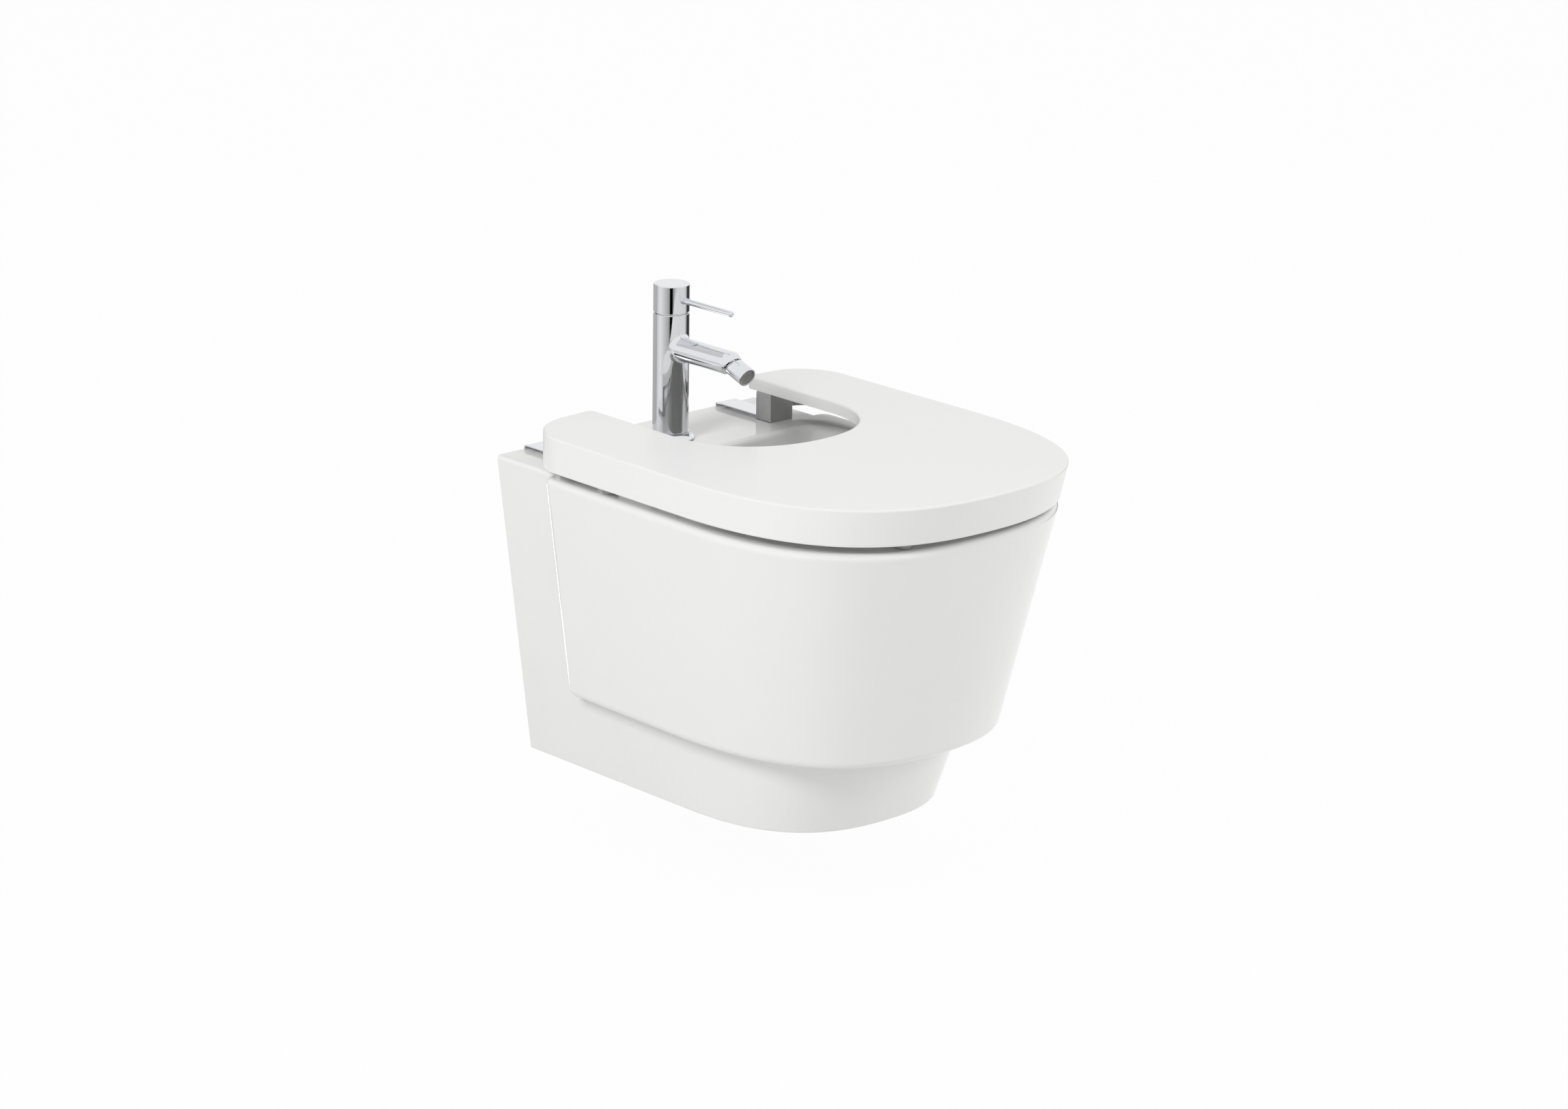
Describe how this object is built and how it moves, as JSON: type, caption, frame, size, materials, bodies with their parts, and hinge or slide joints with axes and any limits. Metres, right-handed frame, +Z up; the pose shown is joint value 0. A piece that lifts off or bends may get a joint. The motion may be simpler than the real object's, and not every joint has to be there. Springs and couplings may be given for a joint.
{
  "type": "wall-hung bidet",
  "caption": "Wall-hung ceramic bidet with a two-tier tapered pan, a lid slotted for the tap, and a single-lever mixer tap with a swivelling nozzle.",
  "frame": {"origin": "on the wall face, midway between the two wall-bolt holes", "axes": "+Z up; +Y out of the back of the pan into the wall; +X to the right of a person facing the wall"},
  "size_m": [0.38, 0.5222, 0.4683],
  "materials": {
    "white_glaze": "white vitreous glaze, glossy",
    "white_lid": "white moulded resin, glossy",
    "chrome": "polished chrome plate",
    "satin_metal": "satin plated metal",
    "steel": "bright drawn stainless steel",
    "brass": "turned brass",
    "black_rubber": "moulded black rubber",
    "clear_rubber": "pale translucent rubber",
    "white_nylon": "moulded nylon",
    "valve_ceramic": "lapped alumina"
  },
  "bodies": {
    "pan": {"pan_deck": "white_glaze", "pan_rim": "white_glaze", "pan_back_wall": "white_glaze", "pan_bowl": "white_glaze", "pan_skirt": "white_glaze", "wall_bolt_sleeves": "white_nylon", "waste_flange": "chrome", "waste_flange_seal": "black_rubber", "waste_lower_seal": "black_rubber", "waste_back_nut": "brass", "waste_guide_spider": "white_nylon", "tap_column": "chrome", "tap_spout": "chrome", "tap_base_ring": "chrome", "tap_base_seal": "black_rubber", "tap_stud": "steel", "clamp_gasket": "black_rubber", "clamp_washer": "steel", "tap_stud_nut": "steel", "cartridge_body": "white_nylon", "cartridge_port_seals": "black_rubber", "cartridge_fixed_disc": "valve_ceramic", "cartridge_nut": "chrome", "socket_ring": "chrome", "hinge_post_right": "satin_metal", "hinge_post_left": "satin_metal", "hinge_cover_right": "chrome", "hinge_cover_left": "chrome", "hinge_damper_right": "white_nylon", "hinge_damper_left": "white_nylon", "hinge_studs": "steel", "hinge_washers": "black_rubber", "hinge_wing_nuts": "white_nylon"},
    "lid": {"lid_shell": "white_lid", "lid_buffers": "clear_rubber", "arm_screws": "steel", "hinge_arm_right": "satin_metal", "hinge_arm_left": "satin_metal", "hinge_pin_right": "steel", "hinge_pin_left": "steel"},
    "turret": {"cartridge_turret": "white_nylon", "stem_pivot_pin": "steel"},
    "handle": {"lever_stem": "brass", "handle_cap": "chrome", "pin_lever": "chrome", "handle_grub_screw": "steel"},
    "valve_disc": {"cartridge_moving_disc": "valve_ceramic"},
    "ball_liner": {"ball_seat_liner": "white_nylon"},
    "nozzle": {"nozzle_ball": "chrome", "nozzle_sleeve": "chrome", "aerator_insert": "white_nylon", "aerator_mesh": "steel"},
    "plug": {"waste_plug": "chrome", "waste_plug_seal": "black_rubber", "waste_plug_stem": "white_nylon"}
  },
  "joints": [
    {"name": "lid_hinge", "type": "hinge", "parent": "pan", "child": "lid", "pos_m": [0, -0.068, 0.121], "axis": [-1, 0, 0], "range_deg": [0, 95]},
    {"name": "handle_turn", "type": "hinge", "parent": "pan", "child": "turret", "pos_m": [0, -0.061, 0.211], "axis": [0, 0, 1], "range_deg": [-45, 45]},
    {"name": "handle_lift", "type": "hinge", "parent": "turret", "child": "handle", "pos_m": [0, -0.061, 0.211], "axis": [-1, 0, 0], "range_deg": [0, 18]},
    {"name": "disc_slide", "type": "slide", "parent": "turret", "child": "valve_disc", "axis": [0, -1, 0], "range_m": [0, 0.0024]},
    {"name": "nozzle_yaw", "type": "hinge", "parent": "pan", "child": "ball_liner", "pos_m": [0, -0.147, 0.189], "axis": [0, 0, 1], "range_deg": [-10, 10]},
    {"name": "nozzle_pitch", "type": "hinge", "parent": "ball_liner", "child": "nozzle", "pos_m": [0, -0.147, 0.189], "axis": [-1, 0, 0], "range_deg": [-10, 6]},
    {"name": "plug_slide", "type": "slide", "parent": "pan", "child": "plug", "axis": [0, 0, 1], "range_m": [0, 0.008]}
  ],
  "couplings": [
    {"joint": "disc_slide", "follows": "handle_lift", "m_per_rad": 0.0072}
  ]
}
